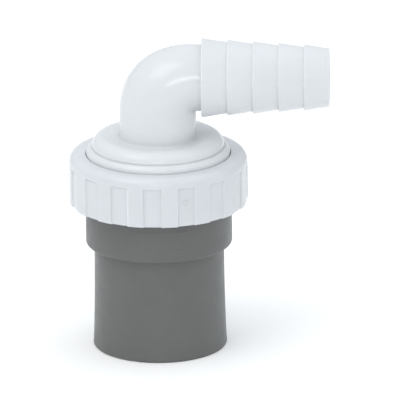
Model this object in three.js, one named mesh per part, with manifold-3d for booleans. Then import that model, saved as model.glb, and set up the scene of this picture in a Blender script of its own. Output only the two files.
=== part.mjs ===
import * as THREE from 'three';
import { mergeVertices } from 'three/addons/utils/BufferGeometryUtils.js';
import Module from 'manifold-3d';

// Swivel elbow connector: a plain pipe spigot with a threaded top, a ribbed union nut,
// a flat sealing washer and a 90 degree elbow that ends in a stepped hose tail.
//
// Millimetres, +Z up. The origin is on the pipe axis at the open end of the spigot,
// and the hose tail points along +X.

const wasm = await Module();
wasm.setup();

// ---------------------------------------------------------------------------
// Driving dimensions

const SEAT_GAP = 0.3;               // between pieces that seat face to face
const FACETS = 48;                  // round a full turn
const NUT_FACETS = 64;              // four to each rib and recess
const TUBE_FACETS = 40;             // round the tube and the hose tail

// pipe adaptor
const SPIGOT_WAIST_R = 19.35;
const SPIGOT_FLARE = 0.6;           // extra radius at the open end
const SPIGOT_WAIST_Z = 22;
const SPIGOT_LENGTH = 31.7;         // up to the collar
const SPIGOT_CHAMFER = 0.6;
const PIPE_WALL = 1.6;              // at the waist
const COLLAR_STEP = 2.45;           // from the waist out to the collar
const COLLAR_LENGTH = 13.2;         // up to the threaded top
const COLLAR_EDGE = 0.9;

// thread between adaptor and nut
const THREAD_STEP = 1.3;            // from the collar out to the foot of the thread
const THREAD_HEIGHT = 1.2;
const THREAD_PITCH = 3;
const THREAD_TURNS = 1.5;
const THREAD_FOOT = 1.6;            // width of a ridge at its foot
const THREAD_CREST = 0.8;           // width of a ridge at its top
const THREAD_SINK = 0.4;            // how far a ridge runs into the wall that carries it
const THREAD_RUN_IN = 1.05;         // from the edge of the piece to the middle of the ridge's end
const THREAD_CLEARANCE = 0.3;       // radial
const THREAD_STEPS = 63;

// sealing washer
const WASHER_THICKNESS = 2.5;
const WASHER_SIDE_CLEARANCE = 0.8;  // to the crest of the nut's thread

// union nut
const NUT_WALL = 1.5;               // from the thread's foot out to the floor of a recess
const NUT_SKIRT = 0.4;              // how far it reaches below the adaptor's thread
const NUT_LIP = 2.3;                // thickness of the top that holds the flange down
const NUT_FOOT_EDGE = 0.7;
const NUT_SHOULDER = 2.5;           // radius between the side and the top
const NUT_HOLE_EDGE = 0.3;
const RIBS = 16;
const RIB_HEIGHT = 0.5;
const RIB_TO_TOP = 3.2;             // from the upper end of a recess to the top of the nut
const FIRST_RECESS = -97.8 * Math.PI / 180;    // clockwise edge of one recess, from above

// elbow with hose tail
const FLANGE_THICKNESS = 2.4;
const FLANGE_SIDE_CLEARANCE = 0.4;  // to the crest of the nut's thread
const FLANGE_LEDGE = 1.6;           // from the rim out to the edge of the flange
const RIM_TO_NUT = 0.3;             // radial
const RIM_HEIGHT = 4.7;             // above the flange
const RIM_EDGE = 1.5;
const RIM_LEDGE = 1.6;              // from the dome out to the rim
const DOME_WALL = 2.3;
const DOME_WALL_HEIGHT = 0.7;       // from the rim to the start of the dome's edge radius
const DOME_EDGE = 3;
const DOME_DIP = 0.65;              // from its crest down to the foot of the neck
const ROOF_THICKNESS = 1.7;         // at the foot of the neck
const NECK_FILLET = 0.5;
const NECK_TOP_R = 11.35;
const NECK_SPREAD = 0.25;           // extra radius at the foot of the neck
const NECK_WALL = 2.15;
const TUBE_R = 9.9;
const ELBOW_HEIGHT = 18.1;          // from the foot of the neck to the axis of the tube
const BEND_INNER_R = 0.3;           // the inner corner is almost sharp
const BEND_SWELL = 0.04;            // extra section in the bend
const BEND_SKEW = 0.7;              // below 1 the section swells most before the middle
const BEND_STEPS = 10;
const JOIN = 1;                     // how far shapes that are joined or cut run into each other
const TUBE_STRAIGHT = 1.5;          // from the bend to the first barb
const BARBS = 5;
const BARB_PITCH = 7.6;
const FIRST_BARB_R = 11.8;
const LAST_BARB_R = 9.75;
const BARB_TAPER = 1.2;             // radius lost along one barb
const BARB_EDGE = 0.3;
const TAIL_WALL = 1.75;             // at the open end

// ---------------------------------------------------------------------------
// Levels and radii that follow from them

const spigotEndR = SPIGOT_WAIST_R + SPIGOT_FLARE;
const pipeBoreR = SPIGOT_WAIST_R - PIPE_WALL;
const collarR = SPIGOT_WAIST_R + COLLAR_STEP;
const threadCoreR = collarR + THREAD_STEP;
const threadCrestR = threadCoreR + THREAD_HEIGHT;
const nutInnerR = threadCrestR + THREAD_CLEARANCE;
const nutCrestR = nutInnerR - THREAD_HEIGHT;
const nutR = nutInnerR + NUT_WALL + RIB_HEIGHT;
const washerR = nutCrestR - WASHER_SIDE_CLEARANCE;
const flangeR = nutCrestR - FLANGE_SIDE_CLEARANCE;
const rimR = flangeR - FLANGE_LEDGE;
const nutHoleR = rimR + RIM_TO_NUT;
const domeR = rimR - RIM_LEDGE;
const cavityR = domeR - DOME_WALL;
const neckFootR = NECK_TOP_R + NECK_SPREAD;
const neckBoreR = NECK_TOP_R - NECK_WALL;
const tailBoreR = LAST_BARB_R - BARB_TAPER - TAIL_WALL;

const collarBottom = SPIGOT_LENGTH;
const threadBottom = collarBottom + COLLAR_LENGTH;
const adaptorTop = threadBottom + THREAD_TURNS * THREAD_PITCH + 2 * THREAD_RUN_IN;
const washerBottom = adaptorTop + SEAT_GAP;
const washerTop = washerBottom + WASHER_THICKNESS;
const flangeBottom = washerTop + SEAT_GAP;
const flangeTop = flangeBottom + FLANGE_THICKNESS;
const nutBottom = threadBottom - NUT_SKIRT;
const lipBottom = flangeTop + SEAT_GAP;
const nutTop = lipBottom + NUT_LIP;
const rimTop = flangeTop + RIM_HEIGHT;
const domeEdgeBottom = rimTop + DOME_WALL_HEIGHT;
const neckFoot = domeEdgeBottom + DOME_EDGE - DOME_DIP;
const tubeAxis = neckFoot + ELBOW_HEIGHT;

// the bend turns about a line parallel to Y at its inner corner
const bendPivotX = NECK_TOP_R + BEND_INNER_R;
const bendPivotZ = tubeAxis - TUBE_R - BEND_INNER_R;
const firstBarb = bendPivotX + TUBE_STRAIGHT;
const tailEnd = firstBarb + BARBS * BARB_PITCH;

// ---------------------------------------------------------------------------
// Solids

function solidOf(geometry) {
  const bare = geometry.index ? geometry.toNonIndexed() : geometry.clone();
  bare.deleteAttribute('normal');
  bare.deleteAttribute('uv');
  const merged = mergeVertices(bare, 1e-4);
  return new wasm.Manifold(new wasm.Mesh({
    numProp: 3,
    vertProperties: new Float32Array(merged.attributes.position.array),
    triVerts: new Uint32Array(merged.index.array),
  }));
}

function geometryOf(solid) {
  const mesh = solid.getMesh();
  const geometry = new THREE.BufferGeometry();
  geometry.setAttribute('position', new THREE.BufferAttribute(new Float32Array(mesh.vertProperties), 3));
  geometry.setIndex(new THREE.BufferAttribute(new Uint32Array(mesh.triVerts), 1));
  geometry.computeVertexNormals();
  return geometry;
}

// Turns a closed outline of [radius, height] points, listed anticlockwise, about +Z.
function turned(outline, facets = FACETS) {
  const points = outline.map(([r, z]) => new THREE.Vector2(r, z));
  points.push(points[0].clone());
  return solidOf(new THREE.LatheGeometry(points, facets).rotateX(Math.PI / 2));
}

// Points of an arc in the [radius, height] plane, angles in degrees.
function arc(r, z, radius, fromDegrees, toDegrees, steps) {
  const points = [];
  for (let i = 0; i <= steps; i++) {
    const angle = THREE.MathUtils.degToRad(THREE.MathUtils.lerp(fromDegrees, toDegrees, i / steps));
    points.push([r + radius * Math.cos(angle), z + radius * Math.sin(angle)]);
  }
  return points;
}

// Right-hand helix about +Z, whose frames keep the section's x pointing away from the axis.
class Helix extends THREE.Curve {
  constructor(radius, startAngle, startZ) {
    super();
    this.radius = radius;
    this.startAngle = startAngle;
    this.startZ = startZ;
  }

  angleAt(t) {
    return this.startAngle + t * THREAD_TURNS * 2 * Math.PI;
  }

  getPoint(t, target = new THREE.Vector3()) {
    const angle = this.angleAt(t);
    const z = this.startZ + t * THREAD_TURNS * THREAD_PITCH;
    return target.set(this.radius * Math.cos(angle), this.radius * Math.sin(angle), z);
  }

  computeFrenetFrames(segments) {
    const frames = { tangents: [], normals: [], binormals: [] };
    for (let i = 0; i <= segments; i++) {
      const angle = this.angleAt(i / segments);
      frames.tangents.push(new THREE.Vector3(-Math.sin(angle), Math.cos(angle), 0));
      frames.normals.push(new THREE.Vector3(Math.cos(angle), Math.sin(angle), 0));
      frames.binormals.push(new THREE.Vector3(0, 0, -1));
    }
    return frames;
  }
}

// One thread ridge. outward is 1 on the adaptor and -1 inside the nut.
function threadRidge(footR, outward, startAngle, startZ) {
  const slope = (THREAD_FOOT - THREAD_CREST) / 2 / THREAD_HEIGHT;
  const crest = THREAD_CREST / 2;
  const root = THREAD_FOOT / 2 + slope * THREAD_SINK;
  const sunk = -THREAD_SINK * outward;
  const top = THREAD_HEIGHT * outward;
  const section = new THREE.Shape();
  section.moveTo(sunk, -root);
  section.lineTo(top, -crest);
  section.lineTo(top, crest);
  section.lineTo(sunk, root);
  section.closePath();
  const path = new Helix(footR, startAngle, startZ);
  return solidOf(new THREE.ExtrudeGeometry(section, { steps: THREAD_STEPS, extrudePath: path }));
}

// Path of the elbow: up the neck, round the inner corner and along the tube. Its frames are as
// long as the local radius, so a unit circle that is carried along it takes that radius.
class ElbowPath extends THREE.Curve {
  constructor(footR, neckR, tubeR, fromZ, toX, swell) {
    super();
    this.stations = [{ x: 0, z: fromZ, angle: 0, radius: footR }];
    for (let i = 0; i <= BEND_STEPS; i++) {
      const t = i / BEND_STEPS;
      const angle = t * Math.PI / 2;
      const grow = 1 + swell * Math.sin(Math.PI * t ** BEND_SKEW) ** 2;
      const offset = THREE.MathUtils.lerp(NECK_TOP_R, TUBE_R, t) * grow + BEND_INNER_R;
      this.stations.push({
        x: bendPivotX - offset * Math.cos(angle),
        z: bendPivotZ + offset * Math.sin(angle),
        angle,
        radius: THREE.MathUtils.lerp(neckR, tubeR, t) * grow,
      });
    }
    this.stations.push({ x: toX, z: tubeAxis, angle: Math.PI / 2, radius: tubeR });
  }

  getSpacedPoints() {
    return this.stations.map(({ x, z }) => new THREE.Vector3(x, 0, z));
  }

  computeFrenetFrames() {
    const frames = { tangents: [], normals: [], binormals: [] };
    for (const { angle, radius } of this.stations) {
      frames.tangents.push(new THREE.Vector3(Math.sin(angle), 0, Math.cos(angle)));
      frames.normals.push(new THREE.Vector3(-radius * Math.cos(angle), 0, radius * Math.sin(angle)));
      frames.binormals.push(new THREE.Vector3(0, -radius, 0));
    }
    return frames;
  }
}

function elbowBar(path) {
  const section = new THREE.Shape();
  section.absarc(0, 0, 1, 0, 2 * Math.PI);
  return solidOf(new THREE.ExtrudeGeometry(section, {
    steps: path.stations.length - 1,
    curveSegments: TUBE_FACETS / 2,
    extrudePath: path,
  }));
}

// Lays a solid turned about +Z along the axis of the tube.
function alongTube(outline) {
  const points = outline.map(([r, x]) => new THREE.Vector2(r, x));
  points.push(points[0].clone());
  const geometry = new THREE.LatheGeometry(points, TUBE_FACETS);
  geometry.rotateX(Math.PI / 2);
  geometry.rotateY(Math.PI / 2);
  geometry.translate(0, 0, tubeAxis);
  return solidOf(geometry);
}

// ---------------------------------------------------------------------------
// Pieces

function pipeAdaptor() {
  const body = turned([
    [pipeBoreR, 0],
    [spigotEndR - SPIGOT_CHAMFER, 0],
    [spigotEndR, SPIGOT_CHAMFER],
    [SPIGOT_WAIST_R, SPIGOT_WAIST_Z],
    [SPIGOT_WAIST_R, collarBottom],
    ...arc(collarR - COLLAR_EDGE, collarBottom + COLLAR_EDGE, COLLAR_EDGE, -90, 0, 3),
    [collarR, threadBottom],
    [threadCoreR, threadBottom],
    [threadCoreR, adaptorTop],
    [pipeBoreR, adaptorTop],
  ]);
  const ridge = threadRidge(threadCoreR, 1, 0, threadBottom + THREAD_RUN_IN);
  return body.add(ridge);
}

function sealingWasher() {
  return turned([
    [cavityR, washerBottom],
    [washerR, washerBottom],
    [washerR, washerTop],
    [cavityR, washerTop],
  ]);
}

function unionNut() {
  const body = turned([
    [nutInnerR, nutBottom],
    ...arc(nutR - NUT_FOOT_EDGE, nutBottom + NUT_FOOT_EDGE, NUT_FOOT_EDGE, -90, 0, 3),
    ...arc(nutR - NUT_SHOULDER, nutTop - NUT_SHOULDER, NUT_SHOULDER, 0, 90, 6),
    ...arc(nutHoleR + NUT_HOLE_EDGE, nutTop - NUT_HOLE_EDGE, NUT_HOLE_EDGE, 90, 180, 3),
    [nutHoleR, lipBottom],
    [nutInnerR, lipBottom],
  ], NUT_FACETS);
  // the nut's ridge runs midway between the turns of the adaptor's ridge
  const ridge = threadRidge(nutInnerR, -1, Math.PI, threadBottom + THREAD_RUN_IN);
  let nut = body.add(ridge);
  const ribAngle = Math.PI / RIBS;
  for (let i = 0; i < RIBS; i++) {
    const start = FIRST_RECESS + 2 * i * ribAngle;
    nut = nut.subtract(recess(start, start + ribAngle));
  }
  return nut;
}

// Cutter for the shallow recess between two ribs; it runs out through the foot of the nut.
function recess(fromAngle, toAngle) {
  const floorR = nutR - RIB_HEIGHT;
  const clearR = nutR + RIB_HEIGHT;
  const section = new THREE.Shape();
  section.absarc(0, 0, floorR, fromAngle, toAngle, false);
  section.absarc(0, 0, clearR, toAngle, fromAngle, true);
  section.closePath();
  const cutter = new THREE.ExtrudeGeometry(section, {
    depth: nutTop - RIB_TO_TOP - nutBottom + RIB_HEIGHT,
    bevelEnabled: false,
    curveSegments: 2,
  });
  cutter.translate(0, 0, nutBottom - RIB_HEIGHT);
  return solidOf(cutter);
}

function hoseTail() {
  const outline = [[0, firstBarb]];
  for (let i = 0; i < BARBS; i++) {
    const barbR = THREE.MathUtils.lerp(FIRST_BARB_R, LAST_BARB_R, i / (BARBS - 1));
    const start = firstBarb + i * BARB_PITCH;
    outline.push([barbR - BARB_EDGE, start]);
    outline.push([barbR, start + BARB_EDGE]);
    outline.push([barbR - BARB_TAPER, start + BARB_PITCH]);
  }
  outline.push([0, tailEnd]);
  return alongTube(outline);
}

function elbow() {
  const base = turned([
    [0, flangeBottom],
    [flangeR, flangeBottom],
    [flangeR, flangeTop],
    [rimR, flangeTop],
    ...arc(rimR - RIM_EDGE, rimTop - RIM_EDGE, RIM_EDGE, 0, 90, 3),
    [domeR, rimTop],
    ...arc(domeR - DOME_EDGE, domeEdgeBottom, DOME_EDGE, 0, 90, 5),
    [neckFootR + NECK_FILLET, neckFoot],
    [neckFootR + NECK_FILLET / 4, neckFoot + NECK_FILLET / 4],
    [neckFootR - NECK_FILLET / 4, neckFoot + NECK_FILLET],
    [0, neckFoot + NECK_FILLET],
  ]);
  const roof = neckFoot - ROOF_THICKNESS;
  const cavity = turned([
    [0, flangeBottom - JOIN],
    [cavityR, flangeBottom - JOIN],
    [cavityR, roof - DOME_EDGE],
    [cavityR - DOME_EDGE, roof],
    [0, roof],
  ]);
  const outerPath = new ElbowPath(
    neckFootR, NECK_TOP_R, TUBE_R, roof + JOIN, firstBarb + JOIN, BEND_SWELL);
  const borePath = new ElbowPath(
    neckBoreR, neckBoreR, tailBoreR, roof - JOIN, tailEnd + JOIN, 0);
  const outside = base.add(elbowBar(outerPath)).add(hoseTail());
  const passage = cavity.add(elbowBar(borePath));
  return outside.subtract(passage);
}

// ---------------------------------------------------------------------------
// Assembly

const whitePlastic = new THREE.MeshStandardMaterial({ color: 0xe6eaee, roughness: 0.38, metalness: 0 });
const greyPlastic = new THREE.MeshStandardMaterial({ color: 0x6f7270, roughness: 0.45, metalness: 0 });
const blackRubber = new THREE.MeshStandardMaterial({ color: 0x1c1c1d, roughness: 0.8, metalness: 0 });

function piece(name, solid, material) {
  const mesh = new THREE.Mesh(geometryOf(solid), material);
  mesh.name = name;
  return mesh;
}

const group = new THREE.Group();
group.add(piece('pipe_adaptor', pipeAdaptor(), greyPlastic));
group.add(piece('sealing_washer', sealingWasher(), blackRubber));
group.add(piece('union_nut', unionNut(), whitePlastic));
group.add(piece('elbow_hose_tail', elbow(), whitePlastic));

export default group;
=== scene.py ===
import math

import bpy
from mathutils import Matrix, Vector


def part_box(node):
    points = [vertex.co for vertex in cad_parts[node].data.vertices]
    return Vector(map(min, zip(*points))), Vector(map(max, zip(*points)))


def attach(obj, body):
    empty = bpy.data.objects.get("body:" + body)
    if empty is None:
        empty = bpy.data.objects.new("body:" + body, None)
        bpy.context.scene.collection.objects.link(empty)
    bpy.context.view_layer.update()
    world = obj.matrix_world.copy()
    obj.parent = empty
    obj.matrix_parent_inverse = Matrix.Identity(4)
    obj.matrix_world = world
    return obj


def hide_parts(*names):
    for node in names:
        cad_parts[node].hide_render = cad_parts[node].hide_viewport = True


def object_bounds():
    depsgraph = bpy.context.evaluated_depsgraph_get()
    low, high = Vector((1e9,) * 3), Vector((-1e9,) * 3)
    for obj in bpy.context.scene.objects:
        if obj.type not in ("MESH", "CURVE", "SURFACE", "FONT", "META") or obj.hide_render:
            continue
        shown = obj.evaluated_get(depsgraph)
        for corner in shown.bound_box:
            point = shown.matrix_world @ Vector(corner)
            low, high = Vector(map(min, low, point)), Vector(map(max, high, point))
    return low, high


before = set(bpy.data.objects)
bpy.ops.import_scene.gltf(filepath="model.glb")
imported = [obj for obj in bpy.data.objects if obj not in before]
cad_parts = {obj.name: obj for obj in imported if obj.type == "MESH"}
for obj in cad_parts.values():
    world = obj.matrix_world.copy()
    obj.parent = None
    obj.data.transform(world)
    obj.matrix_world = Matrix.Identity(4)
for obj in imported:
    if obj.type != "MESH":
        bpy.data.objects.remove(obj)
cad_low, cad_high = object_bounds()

# Swivel elbow connector, in the CAD model's frame: pipe axis on Z, hose tail along +X.
# Sizes below are in millimetres and become metres where the meshes are made.

MM = 0.001
TURN = 2 * math.pi

# pipe adaptor
SPIGOT_LENGTH = 31.7
SPIGOT_MOUTH_R = 19.95
SPIGOT_TOP_R = 19.35
SPIGOT_FLARE_POWER = 2.5
SPIGOT_EDGE = 0.6
PIPE_BORE_R = 17.75
BORE_EDGE = 0.4
COLLAR_R = 21.8
COLLAR_EDGE = 0.9
COLLAR_ROOT = 0.1
THREADED_LENGTH = 6.6

# blank plaque on the collar
PLAQUE_ANGLE = math.radians(-85.5)
PLAQUE_HALF_ANGLE = math.radians(20.6)
PLAQUE_BOTTOM = 35.0
PLAQUE_TOP = 41.9
PLAQUE_BORDER = 0.75
PLAQUE_SLOPE = 0.45
PLAQUE_PROUD = 0.1
PLAQUE_FIELD = 0.03

# thread
THREAD_CORE_R = 23.1
THREAD_HEIGHT = 1.2
THREAD_PITCH = 3.0
THREAD_TURNS = 1.5
THREAD_FOOT = 1.6
THREAD_CREST = 0.8
THREAD_RUN_IN = 1.05
THREAD_FADE = math.radians(14)
THREAD_ROW = 0.2

# sealing washer
WASHER_EDGE = 0.4

# union nut
NUT_INNER_R = 24.6
NUT_HOLE_R = 21.58
NUT_LIP = 2.3
NUT_FOOT_EDGE = 0.7
NUT_SHOULDER = 2.5
NUT_HOLE_EDGE = 0.18
NUT_INNER_EDGE = 0.3
RIBS = 16
RIB_HEIGHT = 0.5
RIB_LENGTH = 11.9
RIB_END = 0.7
RIB_WALL = 0.45
FIRST_RECESS = math.radians(-97.8)

# gate mark in one recess
GATE_ANGLE = math.radians(-70.4)
GATE_Z = 52.0
GATE_RING_R = 0.75
GATE_WIRE_R = 0.2
GATE_FLATNESS = 0.6
GATE_SINK = 0.25

# elbow
FLANGE_THICKNESS = 2.4
FLANGE_EDGE = 0.3
CAVITY_R = 17.5
CAVITY_EDGE = 3.0
ROOF_THICKNESS = 1.7
RIM_R = 21.45
RIM_HEIGHT = 4.7
RIM_EDGE = 1.6
RIM_CHAMFER = 1.1
DOME_R = 19.8
DOME_EDGE = 3.4
DOME_CORNER_HEIGHT = 3.8
DOME_DIP = 0.75
DOME_FOOT = 0.2
NECK_FOOT_R = 11.6
NECK_TOP_R = 11.35
NECK_FILLET = 0.45
NECK_BORE_R = 9.2
TUBE_R = 9.9
TAIL_BORE_R = 6.8
BEND_INNER_R = 0.3
BEND_SWELL = 0.04
BEND_SKEW = 0.7
BEND_ROWS = 48
TUBE_TO_FIRST_BARB = 13.15
BARBS = 5
BARB_PITCH = 7.6
FIRST_BARB_R = 11.8
LAST_BARB_R = 9.85
BARB_TAPER = 1.2
BARB_EDGE = 0.35
BARB_ROOT = 0.2
TAIL_EDGE = 0.3

# mesh fineness
ARC_STEPS = 6
SUPPORT = 0.25
SUPPORT_SHARE = 0.25
ADAPTOR_COLUMNS = 144
WASHER_COLUMNS = 128
ELBOW_COLUMNS = 160
FLARE_ROWS = 14
PLAQUE_STEPS = range(-2, 10)
RIB_WALL_STEPS = 6
RIB_FLAT_STEPS = 5
RIB_END_STEPS = 6
GATE_SPOKES = 32
GATE_SIDES = 16

# two radii closer than this are the same
SAME = 1e-4


def node_box(name):
    """Lowest and highest corner of a CAD node, in millimetres."""
    low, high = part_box(name)
    return low / MM, high / MM


adaptor_low, adaptor_high = node_box("pipe_adaptor")
washer_low, washer_high = node_box("sealing_washer")
nut_low, nut_high = node_box("union_nut")
elbow_low, elbow_high = node_box("elbow_hose_tail")

COLLAR_BOTTOM = adaptor_low.z + SPIGOT_LENGTH
THREAD_BOTTOM = adaptor_high.z - THREADED_LENGTH
NUT_R = nut_high.x
FLANGE_R = -elbow_low.x
FLANGE_BOTTOM = elbow_low.z
FLANGE_TOP = FLANGE_BOTTOM + FLANGE_THICKNESS
RIM_TOP = FLANGE_TOP + RIM_HEIGHT
DOME_CORNER = RIM_TOP + DOME_CORNER_HEIGHT
NECK_FOOT = DOME_CORNER - DOME_DIP
ROOF = NECK_FOOT - ROOF_THICKNESS
TUBE_AXIS = elbow_high.z - FIRST_BARB_R
TAIL_END = elbow_high.x
BEND_X = NECK_TOP_R + BEND_INNER_R
BEND_Z = TUBE_AXIS - TUBE_R - BEND_INNER_R


def mix(a, b, t):
    return a + (b - a) * t


def smooth(low, high, value):
    """0 below low, 1 above high, and a soft step between them."""
    t = min(max((value - low) / (high - low), 0), 1)
    return t * t * (3 - 2 * t)


def even_angles(count):
    return [TURN * i / count for i in range(count)]


# ---------------------------------------------------------------------------
# Outlines


def fillet_reach(before, here, after, fillet):
    """Half the angle at a corner, and how far its fillet's ends lie from it."""
    half = (before - here).angle(after - here) / 2
    return half, fillet / math.tan(half)


def rounded(corners, closed=False):
    """Points along (radius, height, fillet) corners, with an arc at each fillet and a support
    point on either side of it, so that flat faces are shaded flat."""
    places = [Vector(c[:2]) for c in corners]
    count = len(corners)
    inner = range(count) if closed else range(1, count - 1)
    halves, reach = [0] * count, [0] * count
    for i in inner:
        before, after = places[i - 1], places[(i + 1) % count]
        halves[i], reach[i] = fillet_reach(before, places[i], after, corners[i][2])
    points = [] if closed else [places[0]]
    for i in inner:
        points += corner_points(places, reach, halves[i], corners[i][2], i)
    return points if closed else points + [places[-1]]


def corner_points(places, reach, half, fillet, i):
    """One corner's arc and its two support points."""
    here, j = places[i], (i + 1) % len(places)
    a, b = places[i - 1] - here, places[j] - here
    support_a = min(SUPPORT, SUPPORT_SHARE * (a.length - reach[i] - reach[i - 1]))
    support_b = min(SUPPORT, SUPPORT_SHARE * (b.length - reach[i] - reach[j]))
    a.normalize()
    b.normalize()
    centre = here + (a + b).normalized() * fillet / math.sin(half)
    start, end = here + a * reach[i] - centre, here + b * reach[i] - centre
    sweep = start.angle(end)
    arc = []
    for k in range(ARC_STEPS + 1):
        t = k / ARC_STEPS
        weights = math.sin((1 - t) * sweep), math.sin(t * sweep)
        arc.append(centre + (start * weights[0] + end * weights[1]) / math.sin(sweep))
    first = here + a * (reach[i] + support_a)
    last = here + b * (reach[i] + support_b)
    return [first, *arc, last]


def with_rows(points, radius, low, high, step):
    """Splits the upright stretch of an outline at one radius into rows a step apart."""
    out = []
    for here, after in zip(points, points[1:] + points[:1]):
        out.append(here)
        upright = abs(here.x - radius) < SAME and abs(after.x - radius) < SAME
        if not upright or abs(after.y - here.y) < 2 * step:
            continue
        rows = [low + step * k for k in range(int((high - low) / step) + 1)]
        between = [z for z in rows if min(here.y, after.y) < z < max(here.y, after.y)]
        out += [Vector((radius, z)) for z in sorted(between, reverse=after.y < here.y)]
    return out


# ---------------------------------------------------------------------------
# Meshes


def grid_piece(name, rows):
    """A closed smooth surface through rings of points, each ring joined to the next and the
    last ring to the first."""
    count = len(rows[0])
    faces = []
    for i in range(len(rows)):
        near, far = i * count, (i + 1) % len(rows) * count
        for j in range(count):
            k = (j + 1) % count
            faces.append((near + j, near + k, far + k, far + j))
    mesh = bpy.data.meshes.new(name)
    mesh.from_pydata([Vector(p) * MM for row in rows for p in row], [], faces)
    mesh.polygons.foreach_set("use_smooth", [True] * len(faces))
    if volume_of(mesh) < 0:
        mesh.flip_normals()
    piece = bpy.data.objects.new(name, mesh)
    bpy.context.scene.collection.objects.link(piece)
    return piece


def volume_of(mesh):
    """Volume inside a closed mesh, negative if its faces point inwards."""
    total = 0
    for face in mesh.polygons:
        corners = [mesh.vertices[i].co for i in face.vertices]
        for b, c in zip(corners[1:], corners[2:]):
            total += corners[0].dot(b.cross(c)) / 6
    return total


def turned_rows(outline, angles, relief=None):
    """Rings of an outline turned about Z; relief(r, z, angle) gives a changed radius."""
    rows = []
    for r, z in outline:
        row = []
        for angle in angles:
            radius = relief(r, z, angle) if relief else r
            row.append((radius * math.cos(angle), radius * math.sin(angle), z))
        rows.append(row)
    return rows


def ridge_height(angle, z, start_angle):
    """How far a thread ridge stands out at a point of the wall that carries it."""
    best = 0
    slope = (THREAD_FOOT - THREAD_CREST) / 2
    for turn in range(math.ceil(THREAD_TURNS)):
        travelled = (angle - start_angle) % TURN + turn * TURN
        left = THREAD_TURNS * TURN - travelled
        if left < 0:
            continue
        middle = THREAD_BOTTOM + THREAD_RUN_IN + THREAD_PITCH * travelled / TURN
        profile = (THREAD_FOOT / 2 - abs(z - middle)) / slope
        fade = smooth(0, THREAD_FADE, travelled) * smooth(0, THREAD_FADE, left)
        best = max(best, min(max(profile, 0), 1) * fade)
    return best * THREAD_HEIGHT


# ---------------------------------------------------------------------------
# Pipe adaptor


def plaque_height(angle, z):
    """A raised border round a blank field."""
    across = (angle - PLAQUE_ANGLE + math.pi) % TURN - math.pi
    to_side = (PLAQUE_HALF_ANGLE - abs(across)) * COLLAR_R
    to_edge = min(to_side, z - PLAQUE_BOTTOM, PLAQUE_TOP - z)
    border = smooth(0, PLAQUE_SLOPE, to_edge)
    field = smooth(PLAQUE_BORDER, PLAQUE_BORDER + PLAQUE_SLOPE, to_edge)
    return border * PLAQUE_PROUD - field * (PLAQUE_PROUD - PLAQUE_FIELD)


def adaptor_relief(r, z, angle):
    if abs(r - COLLAR_R) < SAME:
        return r + plaque_height(angle, z)
    if abs(r - THREAD_CORE_R) < SAME and z > THREAD_BOTTOM:
        return r + ridge_height(angle, z, 0)
    return r


def spigot_flare():
    """The outside of the spigot: straight near the collar, slightly flared to its mouth."""
    points = []
    low = adaptor_low.z + 2 * SPIGOT_EDGE
    high = COLLAR_BOTTOM - 2 * COLLAR_ROOT
    for i in range(FLARE_ROWS + 1):
        z = mix(low, high, i / FLARE_ROWS)
        flare = (1 - (z - adaptor_low.z) / SPIGOT_LENGTH) ** SPIGOT_FLARE_POWER
        points.append(Vector((mix(SPIGOT_TOP_R, SPIGOT_MOUTH_R, flare), z)))
    return points


def adaptor_outline():
    mouth, top = adaptor_low.z, adaptor_high.z
    lower = rounded([
        (PIPE_BORE_R, (mouth + top) / 2, 0),
        (PIPE_BORE_R, mouth, BORE_EDGE),
        (SPIGOT_MOUTH_R, mouth, SPIGOT_EDGE),
        (SPIGOT_MOUTH_R, mouth + 2 * SPIGOT_EDGE, 0),
    ])[:-1]
    upper = rounded([
        (SPIGOT_TOP_R, COLLAR_BOTTOM - 2 * COLLAR_ROOT, 0),
        (SPIGOT_TOP_R, COLLAR_BOTTOM, COLLAR_ROOT),
        (COLLAR_R, COLLAR_BOTTOM, COLLAR_EDGE),
        (COLLAR_R, THREAD_BOTTOM, BORE_EDGE / 2),
        (THREAD_CORE_R, THREAD_BOTTOM, BORE_EDGE / 2),
        (THREAD_CORE_R, top, BORE_EDGE),
        (PIPE_BORE_R, top, BORE_EDGE),
        (PIPE_BORE_R, (mouth + top) / 2, 0),
    ])[1:-1]
    outline = lower + spigot_flare() + upper
    outline = with_rows(outline, COLLAR_R, COLLAR_BOTTOM, THREAD_BOTTOM, THREAD_ROW)
    return with_rows(outline, THREAD_CORE_R, THREAD_BOTTOM, top, THREAD_ROW)


def adaptor_angles():
    """Even columns, with closer ones at the plaque's two sides."""
    angles = even_angles(ADAPTOR_COLUMNS)
    step = PLAQUE_SLOPE / 2 / COLLAR_R
    for side in (-1, 1):
        for k in PLAQUE_STEPS:
            across = side * (PLAQUE_HALF_ANGLE - k * step)
            angles.append((PLAQUE_ANGLE + across) % TURN)
    return sorted(angles)


def pipe_adaptor():
    rows = turned_rows(adaptor_outline(), adaptor_angles(), adaptor_relief)
    return grid_piece("grey_pipe_adaptor", rows)


# ---------------------------------------------------------------------------
# Sealing washer and union nut


def sealing_washer():
    outline = rounded([
        (CAVITY_R, washer_low.z, WASHER_EDGE),
        (washer_high.x, washer_low.z, WASHER_EDGE),
        (washer_high.x, washer_high.z, WASHER_EDGE),
        (CAVITY_R, washer_high.z, WASHER_EDGE),
    ], closed=True)
    return grid_piece("rubber_washer", turned_rows(outline, even_angles(WASHER_COLUMNS)))


def recess_share(angle):
    """1 in a recess between two ribs, 0 on a rib."""
    quarter = TURN / RIBS / 4
    wall = RIB_WALL / NUT_R
    across = (angle - FIRST_RECESS) % (4 * quarter)
    middle = quarter if across < 3 * quarter else 5 * quarter
    return 1 - smooth(quarter - wall / 2, quarter + wall / 2, abs(across - middle))


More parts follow.
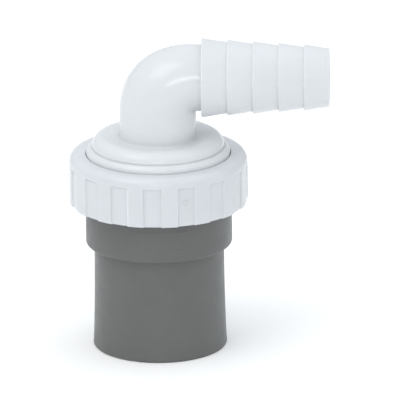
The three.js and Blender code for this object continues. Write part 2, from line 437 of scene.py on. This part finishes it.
def nut_relief(r, z, angle):
    if abs(r - NUT_INNER_R) < SAME:
        return r - ridge_height(angle, z, math.pi)
    end = nut_low.z + RIB_LENGTH
    depth = RIB_HEIGHT * (1 - smooth(end - RIB_END / 2, end + RIB_END / 2, z))
    foot = min(max((r - NUT_INNER_R) / (NUT_R - NUT_FOOT_EDGE - NUT_INNER_R), 0), 1)
    return r - depth * foot * recess_share(angle)


def nut_outline():
    foot, top = nut_low.z, nut_high.z
    lip = top - NUT_LIP
    outline = rounded([
        (NUT_INNER_R, foot, NUT_INNER_EDGE),
        (NUT_R, foot, NUT_FOOT_EDGE),
        (NUT_R, top, NUT_SHOULDER),
        (NUT_HOLE_R, top, NUT_HOLE_EDGE),
        (NUT_HOLE_R, lip, NUT_INNER_EDGE),
        (NUT_INNER_R, lip, NUT_INNER_EDGE),
    ], closed=True)
    outline = with_rows(outline, NUT_INNER_R, foot, lip, THREAD_ROW)
    end = foot + RIB_LENGTH
    step = RIB_END / RIB_END_STEPS
    return with_rows(outline, NUT_R, end - RIB_END, end + RIB_END / 2, step)


def nut_angles():
    """Close columns across the walls of each recess, wider ones between them."""
    pitch = TURN / RIBS
    step = RIB_WALL / NUT_R / RIB_WALL_STEPS
    reach = RIB_WALL_STEPS // 2 + 1
    flat = (pitch / 2 - 2 * reach * step) / RIB_FLAT_STEPS
    angles = []
    for i in range(2 * RIBS):
        edge = FIRST_RECESS + i * pitch / 2
        angles += [edge + step * k for k in range(-reach, reach + 1)]
        angles += [edge + step * reach + flat * k for k in range(1, RIB_FLAT_STEPS)]
    return sorted(a % TURN for a in angles)


def union_nut():
    rows = turned_rows(nut_outline(), nut_angles(), nut_relief)
    return grid_piece("white_union_nut", rows)


def gate_mark():
    """The small ring that the mould's gate leaves on the floor of one recess."""
    out = Vector((math.cos(GATE_ANGLE), math.sin(GATE_ANGLE), 0))
    along = Vector((-out.y, out.x, 0))
    centre = out * (NUT_R - RIB_HEIGHT) + Vector((0, 0, GATE_Z))
    rows = []
    for around in even_angles(GATE_SPOKES):
        spoke = along * math.cos(around) + Vector((0, 0, 1)) * math.sin(around)
        row = []
        for angle in even_angles(GATE_SIDES):
            radius = GATE_RING_R + GATE_WIRE_R * math.cos(angle)
            height = GATE_WIRE_R * (math.sin(angle) * GATE_FLATNESS - GATE_SINK)
            row.append(centre + spoke * radius + out * height)
        rows.append(row)
    return grid_piece("nut_gate_mark", rows)


# ---------------------------------------------------------------------------
# Elbow


def elbow_ring(x, z, angle, radius):
    """A ring across the elbow's path, which leans from upright (0) to along +X."""
    outward = Vector((-math.cos(angle), 0, math.sin(angle)))
    side = Vector((0, -1, 0))
    centre = Vector((x, 0, z))
    ring = []
    for around in even_angles(ELBOW_COLUMNS):
        spoke = outward * math.cos(around) + side * math.sin(around)
        ring.append(centre + spoke * radius)
    return ring


def base_rows():
    """From inside the neck, down the cavity, round the flange and up the outside of the neck."""
    outline = rounded([
        (NECK_BORE_R, BEND_Z, 0),
        (NECK_BORE_R, ROOF, NECK_FILLET / 2),
        (CAVITY_R, ROOF, CAVITY_EDGE),
        (CAVITY_R, FLANGE_BOTTOM, FLANGE_EDGE),
        (FLANGE_R, FLANGE_BOTTOM, FLANGE_EDGE),
        (FLANGE_R, FLANGE_TOP, FLANGE_EDGE),
        (RIM_R, FLANGE_TOP, FLANGE_EDGE),
        (RIM_R, RIM_TOP - RIM_CHAMFER, RIM_EDGE),
        (RIM_R - RIM_CHAMFER, RIM_TOP, RIM_EDGE / 2),
        (DOME_R, RIM_TOP, DOME_FOOT),
        (DOME_R, DOME_CORNER, DOME_EDGE),
        (NECK_FOOT_R, NECK_FOOT, NECK_FILLET),
        (NECK_TOP_R, BEND_Z, 0),
    ])
    return [elbow_ring(0, z, 0, r) for r, z in outline]


def tail_rows():
    """From the bend along the tube, over the barbs, round the end and back along the bore."""
    corners = [(TUBE_R, BEND_X, 0)]
    previous = TUBE_R
    for i in range(BARBS):
        start = TUBE_TO_FIRST_BARB + i * BARB_PITCH
        radius = mix(FIRST_BARB_R, LAST_BARB_R, i / (BARBS - 1))
        corners.append((previous, start, BARB_ROOT))
        corners.append((radius, start, BARB_EDGE))
        previous = radius - BARB_TAPER
    corners.append((previous, TAIL_END, TAIL_EDGE))
    corners.append((TAIL_BORE_R, TAIL_END, 2 * TAIL_EDGE))
    corners.append((TAIL_BORE_R, BEND_X, 0))
    return [elbow_ring(x, TUBE_AXIS, math.pi / 2, r) for r, x in rounded(corners)]


def bend_rows(neck_r, tube_r, swell):
    """Rings round the inner corner, between the neck and the tube."""
    rows = []
    for i in range(1, BEND_ROWS):
        t = i / BEND_ROWS
        angle = t * math.pi / 2
        bulge = math.sin(math.pi * t ** BEND_SKEW) ** 2
        offset = mix(NECK_TOP_R, TUBE_R, t) * (1 + BEND_SWELL * bulge) + BEND_INNER_R
        x = BEND_X - offset * math.cos(angle)
        z = BEND_Z + offset * math.sin(angle)
        rows.append(elbow_ring(x, z, angle, mix(neck_r, tube_r, t) * (1 + swell * bulge)))
    return rows


def elbow_hose_tail():
    outside = bend_rows(NECK_TOP_R, TUBE_R, BEND_SWELL)
    inside = bend_rows(NECK_BORE_R, TAIL_BORE_R, 0)
    rows = base_rows() + outside + tail_rows() + inside[::-1]
    return grid_piece("white_elbow", rows)


# ---------------------------------------------------------------------------
# Materials, with the sizes of their detail in millimetres

NOISE_LOW = 0.3
NOISE_HIGH = 0.7
EDGE_LOW = 0.53
EDGE_HIGH = 0.6
SPECK_CORE = 0.5
WHITE = (0.635, 0.652, 0.671)
# The nut's white is the elbow's white made a little darker: painted shade, so that the nut looks
# less lit than the elbow.
NUT_WHITE_PAINTED_SHADE = (0.6, 0.617, 0.643)
WHITE_ROUGHNESS = 0.21
GLOW_THROUGH = 0.25
GLOW_TINT = (1.0, 0.95, 0.9)
GLOW_DEPTH = 1.5
POLYPROPYLENE_IOR = 1.49
GREY = (0.104, 0.107, 0.1035)
GREY_ROUGHNESS = 0.42
PVC_IOR = 1.52
BLACK = (0.018, 0.018, 0.019)
BLACK_ROUGHNESS = 0.62
DIRT = (0.2, 0.2, 0.21, 1.0)
FLOOR_DARK = (0.9, 0.9, 0.9, 1.0)
FLOOR_LIGHT = (0.915, 0.915, 0.915, 1.0)
FLOOR_ROUGHNESS = 0.85
FLOOR_GLOW = 0.07


class Shading:
    """A new material's node tree, with short calls for the nodes that the finishes share."""

    def __init__(self, name):
        self.material = bpy.data.materials.new(name)
        self.material.use_nodes = True
        self.tree = self.material.node_tree
        self.shader = self.tree.nodes["Principled BSDF"]
        self.place = self.add("ShaderNodeTexCoord").outputs["Object"]

    def add(self, kind, **settings):
        node = self.tree.nodes.new(kind)
        for key, value in settings.items():
            setattr(node, key, value)
        return node

    def wire(self, source, target):
        if isinstance(source, (int, float, tuple)):
            target.default_value = source
        else:
            self.tree.links.new(source, target)

    def scaled(self, x, y, z):
        """The object's coordinates, stretched."""
        node = self.add("ShaderNodeMapping")
        self.wire(self.place, node.inputs["Vector"])
        node.inputs["Scale"].default_value = (x, y, z)
        return node.outputs["Vector"]

    def noise(self, size, detail=2.0, place=None, roughness=0.5, distortion=0.0):
        """Noise with features of about the given size in millimetres."""
        node = self.add("ShaderNodeTexNoise")
        self.wire(place or self.place, node.inputs["Vector"])
        node.inputs["Scale"].default_value = 1 / (size * MM)
        node.inputs["Detail"].default_value = detail
        node.inputs["Roughness"].default_value = roughness
        node.inputs["Distortion"].default_value = distortion
        return node.outputs["Fac"]

    def ranged(self, value, low, high, to_low=0.0, to_high=1.0):
        node = self.add("ShaderNodeMapRange")
        self.wire(value, node.inputs["Value"])
        node.inputs["From Min"].default_value = low
        node.inputs["From Max"].default_value = high
        node.inputs["To Min"].default_value = to_low
        node.inputs["To Max"].default_value = to_high
        return node.outputs["Result"]

    def math(self, operation, a, b):
        node = self.add("ShaderNodeMath", operation=operation)
        self.wire(a, node.inputs[0])
        self.wire(b, node.inputs[1])
        return node.outputs[0]

    def blend(self, share, a, b):
        """Colour a where share is 0 and colour b where it is 1."""
        node = self.add("ShaderNodeMix", data_type="RGBA")
        self.wire(share, node.inputs["Factor"])
        self.wire(a, node.inputs["A"])
        self.wire(b, node.inputs["B"])
        return node.outputs["Result"]

    def drift(self, size, detail, low=0.0, high=1.0):
        """Cloudy noise that runs from low to high."""
        return self.ranged(self.noise(size, detail), NOISE_LOW, NOISE_HIGH, low, high)

    def specks(self, spacing, radius, share, strength):
        """Up to strength in small spots of a few cells, 0 elsewhere; sizes in millimetres."""
        cells = self.add("ShaderNodeTexVoronoi")
        self.wire(self.place, cells.inputs["Vector"])
        cells.inputs["Scale"].default_value = 1 / (spacing * MM)
        rim = radius / spacing
        near = self.ranged(cells.outputs["Distance"], rim, SPECK_CORE * rim, 0, strength)
        split = self.add("ShaderNodeSeparateColor")
        self.wire(cells.outputs["Color"], split.inputs["Color"])
        chosen = self.math("GREATER_THAN", split.outputs["Red"], 1 - share)
        return self.math("MULTIPLY", near, chosen)

    def edges(self, strength):
        """Painted highlight, up to strength along sharp outer edges, 0 on flat and hollow parts.
        """
        pointiness = self.add("ShaderNodeNewGeometry").outputs["Pointiness"]
        return self.ranged(pointiness, EDGE_LOW, EDGE_HIGH, 0, strength)

    def bump(self, height, strength, distance, normal=None):
        node = self.add("ShaderNodeBump")
        node.inputs["Strength"].default_value = strength
        node.inputs["Distance"].default_value = distance * MM
        self.wire(height, node.inputs["Height"])
        if normal is not None:
            self.wire(normal, node.inputs["Normal"])
        return node.outputs["Normal"]


def shade(rgb, factor):
    return tuple(c * factor for c in rgb) + (1.0,)


def white_plastic(name, white):
    """Moulded polypropylene: cool white, faint flow marks, fine grain, a few dark specks, and a
    painted highlight along sharp edges.
    """
    s = Shading(name)
    clouds = s.drift(size=14, detail=3)
    colour = s.blend(clouds, shade(white, 0.98), shade(white, 1.015))
    flow = s.noise(size=5, detail=3, place=s.scaled(1, 1, 0.35), distortion=1.0)
    marks = s.ranged(flow, low=0.5, high=0.8, to_high=0.4)
    colour = s.blend(marks, colour, shade(white, 0.96))
    # Painted highlight: the white is made lighter along sharp outer edges.
    colour = s.blend(s.edges(strength=0.7), colour, shade(white, 1.12))
    dirt = s.specks(spacing=3.2, radius=0.16, share=0.03, strength=0.75)
    colour = s.blend(dirt, colour, DIRT)
    s.wire(colour, s.shader.inputs["Base Color"])
    rough = s.drift(size=7, detail=3, low=WHITE_ROUGHNESS - 0.02, high=WHITE_ROUGHNESS + 0.02)
    streaks = s.noise(size=1.6, detail=3, place=s.scaled(1, 1, 0.15))
    scuffs = s.ranged(streaks, low=0.5, high=0.8, to_high=0.03)
    s.wire(s.math("ADD", rough, scuffs), s.shader.inputs["Roughness"])
    waves = s.bump(s.noise(size=5.5), strength=0.25, distance=0.03)
    grain = s.bump(s.noise(size=0.5), strength=0.1, distance=0.006, normal=waves)
    s.wire(grain, s.shader.inputs["Normal"])
    s.shader.inputs["Subsurface Weight"].default_value = GLOW_THROUGH
    s.shader.inputs["Subsurface Radius"].default_value = GLOW_TINT
    s.shader.inputs["Subsurface Scale"].default_value = GLOW_DEPTH * MM
    s.shader.inputs["IOR"].default_value = POLYPROPYLENE_IOR
    return s.material


def grey_plastic():
    """Rigid PVC: neutral grey, satin, with a fine grain, light handling scuffs, and a painted
    highlight along sharp edges.
    """
    s = Shading("grey_rigid_pvc")
    clouds = s.drift(size=9, detail=4)
    colour = s.blend(clouds, shade(GREY, 0.95), shade(GREY, 1.05))
    mottle = s.ranged(s.noise(size=1.1, detail=3), low=0.35, high=0.65, to_high=0.5)
    colour = s.blend(mottle, colour, shade(GREY, 1.04))
    # Painted highlight: the grey is made much lighter along sharp outer edges.
    colour = s.blend(s.edges(strength=0.6), colour, shade(GREY, 1.6))
    streaks = s.noise(size=0.5, detail=3, place=s.scaled(1, 1, 0.04))
    scratch = s.ranged(streaks, low=0.68, high=0.8)
    colour = s.blend(s.math("MULTIPLY", scratch, 0.25), colour, shade(GREY, 1.7))
    dirt = s.specks(spacing=2.6, radius=0.14, share=0.05, strength=0.6)
    colour = s.blend(dirt, colour, shade(GREY, 0.4))
    s.wire(colour, s.shader.inputs["Base Color"])
    rough = s.drift(size=5, detail=4, low=GREY_ROUGHNESS - 0.05, high=GREY_ROUGHNESS + 0.06)
    rough = s.math("ADD", rough, s.math("MULTIPLY", scratch, 0.15))
    s.wire(rough, s.shader.inputs["Roughness"])
    waves = s.bump(s.noise(size=6), strength=0.3, distance=0.05)
    grain = s.bump(s.noise(size=0.35, detail=3), strength=0.3, distance=0.02, normal=waves)
    s.wire(grain, s.shader.inputs["Normal"])
    s.shader.inputs["IOR"].default_value = PVC_IOR
    return s.material


def black_rubber():
    """Moulded rubber: near black, dull, with a pebbled surface and pale dust."""
    s = Shading("black_rubber_seal")
    dust = s.ranged(s.noise(size=3, detail=5), low=0.5, high=0.75, to_high=0.35)
    s.wire(s.blend(dust, shade(BLACK, 1), shade(BLACK, 3)), s.shader.inputs["Base Color"])
    rough = s.drift(size=2, detail=3, low=BLACK_ROUGHNESS - 0.08, high=BLACK_ROUGHNESS + 0.12)
    s.wire(rough, s.shader.inputs["Roughness"])
    pebbles = s.bump(s.noise(size=0.4, detail=3), strength=0.5, distance=0.04)
    s.wire(pebbles, s.shader.inputs["Normal"])
    return s.material


def floor_paint():
    """Pale matt studio floor."""
    s = Shading("pale_floor")
    colour = s.blend(s.drift(size=160, detail=3), FLOOR_DARK, FLOOR_LIGHT)
    s.wire(colour, s.shader.inputs["Base Color"])
    s.shader.inputs["Roughness"].default_value = FLOOR_ROUGHNESS
    s.shader.inputs["Emission Color"].default_value = (1.0, 1.0, 1.0, 1.0)
    s.shader.inputs["Emission Strength"].default_value = FLOOR_GLOW
    return s.material


# ---------------------------------------------------------------------------
# Studio, with its sizes in metres

FLOOR_HALF = 6.0
SKY_LIGHT = (0.94, 0.972, 1.0)
SKY_AT_HORIZON = 0.7
SKY_AT_ZENITH = 1.3
LAMP_LIGHT = (1.0, 0.98, 0.94)
FILL_LIGHT = (0.82, 0.91, 1.0)
LAMP_DISTANCE = 2.3
KEY_DIRECTION = (-0.44, -0.36, 0.82)
SOFTBOX_SIZE = 1.3
KEY_POWER = 10.0
FILL_DIRECTION = (0.55, 0.3, 0.75)
FILL_POWER = 2.2
FRONT_DIRECTION = (0.03, -0.945, 0.32)
FRONT_WIDTH = 0.7
FRONT_HEIGHT = 0.2
FRONT_POWER = 5.0


def studio_floor():
    mesh = bpy.data.meshes.new("studio_floor")
    z = cad_low.z
    corners = [(-1, -1), (1, -1), (1, 1), (-1, 1)]
    mesh.from_pydata([(FLOOR_HALF * x, FLOOR_HALF * y, z) for x, y in corners], [], [(0, 1, 2, 3)])
    floor = bpy.data.objects.new("studio_floor", mesh)
    bpy.context.scene.collection.objects.link(floor)
    floor.data.materials.append(floor_paint())


def soft_light(name, tint, direction, width, height, power):
    """An oblong light that faces the middle of the object."""
    light = bpy.data.lights.new(name, "AREA")
    light.shape = "RECTANGLE"
    light.size = width
    light.size_y = height
    light.energy = power
    light.color = tint
    lamp = bpy.data.objects.new(name, light)
    bpy.context.scene.collection.objects.link(lamp)
    away = Vector(direction).normalized()
    lamp.location = (cad_low + cad_high) / 2 + away * LAMP_DISTANCE
    lamp.rotation_euler = away.to_track_quat("Z", "Y").to_euler()


def studio_world():
    """A cool white studio, brighter overhead than at the horizon."""
    world = bpy.data.worlds.new("studio")
    world.use_nodes = True
    tree = world.node_tree
    background = tree.nodes["Background"]
    background.inputs["Color"].default_value = (*SKY_LIGHT, 1.0)
    direction = tree.nodes.new("ShaderNodeTexCoord")
    split = tree.nodes.new("ShaderNodeSeparateXYZ")
    rise = tree.nodes.new("ShaderNodeMapRange")
    rise.inputs["To Min"].default_value = SKY_AT_HORIZON
    rise.inputs["To Max"].default_value = SKY_AT_ZENITH
    tree.links.new(direction.outputs["Generated"], split.inputs["Vector"])
    tree.links.new(split.outputs["Z"], rise.inputs["Value"])
    tree.links.new(rise.outputs["Result"], background.inputs["Strength"])
    bpy.context.scene.world = world
    bpy.context.scene.view_settings.view_transform = "Standard"


def studio_lights():
    studio_world()
    soft_light("key", LAMP_LIGHT, KEY_DIRECTION, SOFTBOX_SIZE, SOFTBOX_SIZE, KEY_POWER)
    soft_light("fill", FILL_LIGHT, FILL_DIRECTION, SOFTBOX_SIZE, SOFTBOX_SIZE, FILL_POWER)
    soft_light("front", LAMP_LIGHT, FRONT_DIRECTION, FRONT_WIDTH, FRONT_HEIGHT, FRONT_POWER)


# ---------------------------------------------------------------------------
# Camera: its angles, and where its axis passes the middle of the object, seen from it

CAMERA_AZIMUTH = math.radians(1.8)
CAMERA_ELEVATION = math.radians(18.46)
CAMERA_ROLL = math.radians(-0.60)
CAMERA_DISTANCE = 2.999
CAMERA_LENS = 906.55
AIM_RIGHT = 0.05
AIM_UP = -2.6


def camera():
    level = math.cos(CAMERA_ELEVATION)
    forward = Vector((
        -math.sin(CAMERA_AZIMUTH) * level,
        math.cos(CAMERA_AZIMUTH) * level,
        -math.sin(CAMERA_ELEVATION),
    ))
    side = forward.cross(Vector((0, 0, 1))).normalized()
    top = side.cross(forward)
    right = side * math.cos(CAMERA_ROLL) + top * math.sin(CAMERA_ROLL)
    up = top * math.cos(CAMERA_ROLL) - side * math.sin(CAMERA_ROLL)
    aim = (cad_low + cad_high) / 2 + (right * AIM_RIGHT + up * AIM_UP) * MM
    data = bpy.data.cameras.new("camera")
    data.lens = CAMERA_LENS
    eye = bpy.data.objects.new("camera", data)
    bpy.context.scene.collection.objects.link(eye)
    turn = Matrix((right, up, -forward)).transposed().to_4x4()
    eye.matrix_world = Matrix.Translation(aim - forward * CAMERA_DISTANCE) @ turn
    bpy.context.scene.camera = eye


# ---------------------------------------------------------------------------
# Assembly


def finished(piece, material, body, slot, *nodes):
    """Gives a piece its material and its body, and hides the CAD nodes that it stands for. The
    slot is not used.
    """
    piece.data.materials.append(material)
    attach(piece, body)
    if nodes:
        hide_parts(*nodes)


camera()
elbow_white = white_plastic("white_moulded_plastic", WHITE)
# The nut's material is the same white plastic made darker: painted shade.
nut_white_painted_shade = white_plastic("white_nut_plastic_painted_shade", NUT_WHITE_PAINTED_SHADE)
finished(pipe_adaptor(), grey_plastic(), "adaptor", "grey_pvc", "pipe_adaptor")
finished(sealing_washer(), black_rubber(), "seal", "black_rubber", "sealing_washer")
finished(union_nut(), nut_white_painted_shade, "nut", "white_plastic", "union_nut")
finished(gate_mark(), nut_white_painted_shade, "nut", "white_plastic")
finished(elbow_hose_tail(), elbow_white, "elbow", "white_plastic", "elbow_hose_tail")
studio_floor()
studio_lights()
